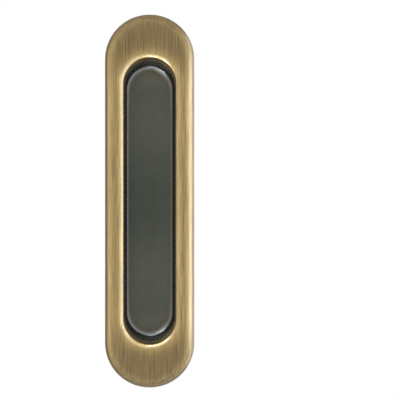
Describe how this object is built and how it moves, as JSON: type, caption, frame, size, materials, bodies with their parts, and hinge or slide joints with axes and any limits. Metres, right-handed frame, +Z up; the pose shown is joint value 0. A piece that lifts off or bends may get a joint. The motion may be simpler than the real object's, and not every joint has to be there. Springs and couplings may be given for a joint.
{
  "type": "sliding door flush pull",
  "caption": "Oblong flush pull for a sliding door: a clip-on metal face plate with a rolled lip round a deep moulded finger cup, screwed into a routed slot.",
  "frame": {"origin": "middle of the pull, on the surface of the door that the flange bears on", "axes": "+X across the pull, +Y into the door, +Z up along the pull"},
  "size_m": [0.036, 0.0174, 0.1504],
  "materials": {
    "antique_brass": "brushed and lacquered",
    "cup_plastic": "satin moulded",
    "screw_steel": "zinc plated"
  },
  "bodies": {
    "root": {"face_plate": "antique_brass", "finger_cup": "cup_plastic", "fixing_screws": "screw_steel"}
  },
  "joints": []
}
